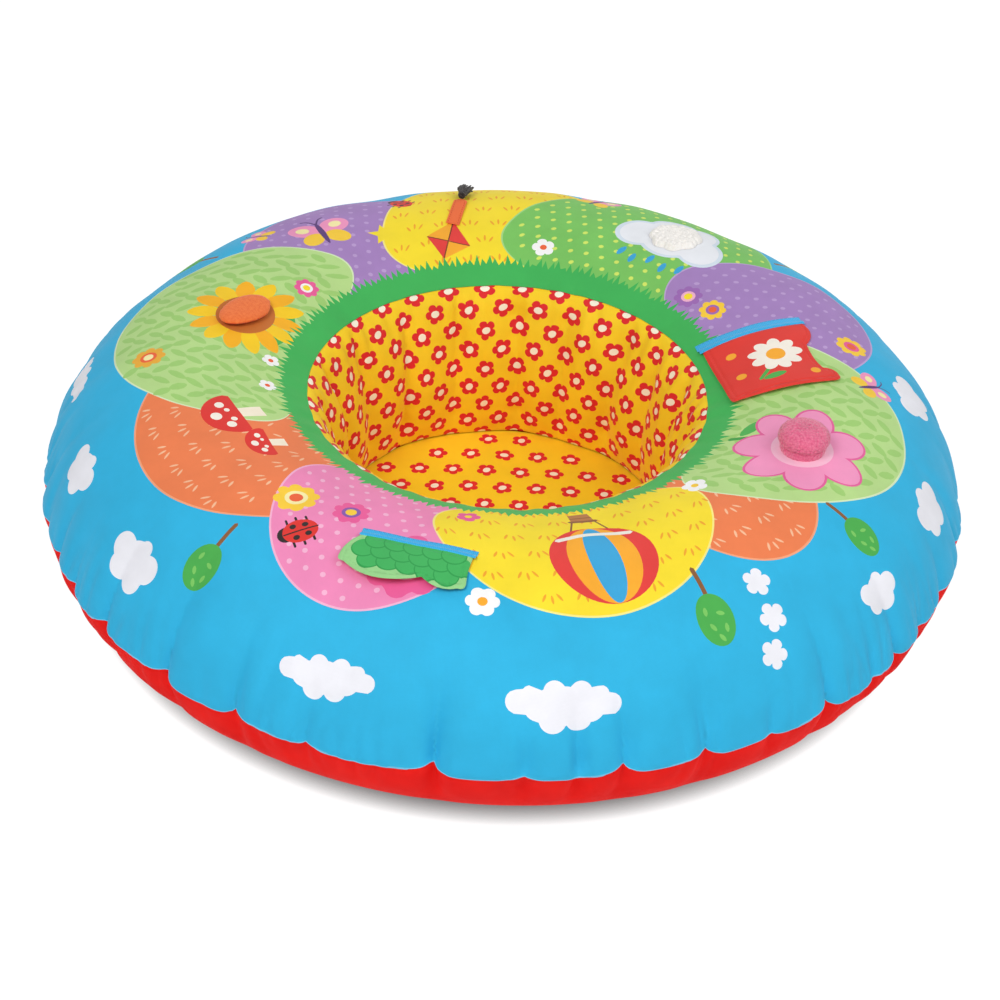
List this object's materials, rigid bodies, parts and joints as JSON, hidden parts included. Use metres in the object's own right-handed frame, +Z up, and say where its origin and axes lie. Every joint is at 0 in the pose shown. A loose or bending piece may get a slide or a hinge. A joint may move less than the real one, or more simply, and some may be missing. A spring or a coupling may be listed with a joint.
{
  "type": "baby activity cushion",
  "caption": "Inflatable ring cushion in a printed sewn cover with a padded well for a baby to sit in, lift-up flaps, a tab with a tassel and a squeaker.",
  "frame": {"origin": "on the floor at the middle of the base, under the middle of the well", "axes": "+Z up out of the well, -Y towards the side seen in front in the picture, +X to its right"},
  "size_m": [0.896, 0.896, 0.23],
  "materials": {
    "printed_cotton": "woven print",
    "red_cotton": "plain weave",
    "yellow_cotton": "plain weave with flowers",
    "pvc_film": "smooth film",
    "valve_plastic": "moulded",
    "wadding": "loose fibre",
    "zip_tape": "woven tape",
    "zip_nylon": "coil",
    "zip_metal": "enamelled",
    "blue_tape": "woven tape",
    "flap_red": "plain weave",
    "flap_green": "plain weave",
    "crinkle_film": "crinkled",
    "fin_orange": "plush",
    "tab_orange": "woven",
    "black_yarn": "spun yarn",
    "pink_terry": "terry loops",
    "gusset_pink": "plain weave",
    "bulb_rubber": "soft rubber",
    "reed_plastic": "moulded",
    "cream_fleece": "curly pile"
  },
  "bodies": {
    "cover": {"ring_gore_1": "pvc_film", "ring_gore_2": "pvc_film", "ring_gore_3": "pvc_film", "ring_gore_4": "pvc_film", "ring_gore_5": "pvc_film", "ring_gore_6": "pvc_film", "ring_gore_7": "pvc_film", "ring_gore_8": "pvc_film", "ring_gore_9": "pvc_film", "ring_gore_10": "pvc_film", "ring_gore_11": "pvc_film", "ring_gore_12": "pvc_film", "ring_valve_body": "valve_plastic", "ring_valve_plug": "valve_plastic", "top_panel": "printed_cotton", "side_band": "red_cotton", "base_panel": "red_cotton", "well_wall": "yellow_cotton", "well_floor_cover": "yellow_cotton", "well_floor_wadding": "wadding", "zip_tape_upper": "zip_tape", "zip_tape_lower": "zip_tape", "zip_coil_upper": "zip_nylon", "zip_coil_lower": "zip_nylon", "zip_stops": "zip_metal", "door_hinge_tape": "blue_tape", "leaf_hinge_tape": "blue_tape", "squeaker_gusset": "gusset_pink", "squeaker_bulb": "bulb_rubber", "squeaker_reed": "reed_plastic", "fleece_patch": "cream_fleece"},
    "door_flap": {"door_flap_front": "flap_red", "door_flap_film": "crinkle_film", "door_flap_back": "flap_red"},
    "leaf_flap": {"leaf_flap_front": "flap_green", "leaf_flap_film": "crinkle_film", "leaf_flap_back": "flap_green"},
    "fin_flap": {"fin_front": "fin_orange", "fin_wadding": "wadding", "fin_back": "fin_orange"},
    "tab": {"tail_tab": "tab_orange"},
    "tassel": {"tail_tassel_knot": "black_yarn", "tail_tassel": "black_yarn"},
    "squeaker_top": {"squeaker_cap": "pink_terry"},
    "slider": {"zip_slider": "zip_metal"},
    "pull": {"zip_pull": "zip_metal"}
  },
  "joints": [
    {"name": "door_flap_hinge", "type": "hinge", "parent": "cover", "child": "door_flap", "pos_m": [0.2383, 0.08626, 0.20498], "axis": [-0.9424, -0.242, -0.2307], "range_deg": [0, 150]},
    {"name": "leaf_flap_hinge", "type": "hinge", "parent": "cover", "child": "leaf_flap", "pos_m": [-0.0707, -0.29678, 0.21037], "axis": [-0.9763, 0.2164, -0.0005], "range_deg": [0, 150]},
    {"name": "fin_flap_hinge", "type": "hinge", "parent": "cover", "child": "fin_flap", "pos_m": [-0.27299, 0.07515, 0.20857], "axis": [-0.584, -0.81, 0.0538], "range_deg": [0, 75]},
    {"name": "tab_hinge", "type": "hinge", "parent": "cover", "child": "tab", "pos_m": [-0.06689, 0.26242, 0.20716], "axis": [0.9893, -0.1352, -0.0554], "range_deg": [0, 120]},
    {"name": "tassel_hinge", "type": "hinge", "parent": "tab", "child": "tassel", "pos_m": [-0.06001, 0.31256, 0.20941], "axis": [0.9898, -0.1369, 0.0383], "range_deg": [0, 60]},
    {"name": "squeaker_press", "type": "slide", "parent": "cover", "child": "squeaker_top", "axis": [0, 0, -1], "range_m": [0, 0.008], "stiffness_N_per_m": 600, "deforming": ["squeaker_gusset", "squeaker_bulb"]},
    {"name": "zip_slide", "type": "hinge", "parent": "cover", "child": "slider", "pos_m": [0, 0, 0], "axis": [0, 0, 1], "range_deg": [0, 107]},
    {"name": "zip_pull_hinge", "type": "hinge", "parent": "slider", "child": "pull", "pos_m": [0.33244, 0.24233, 0.01622], "axis": [-0.6522, -0.4754, -0.5905], "range_deg": [0, 70]}
  ]
}
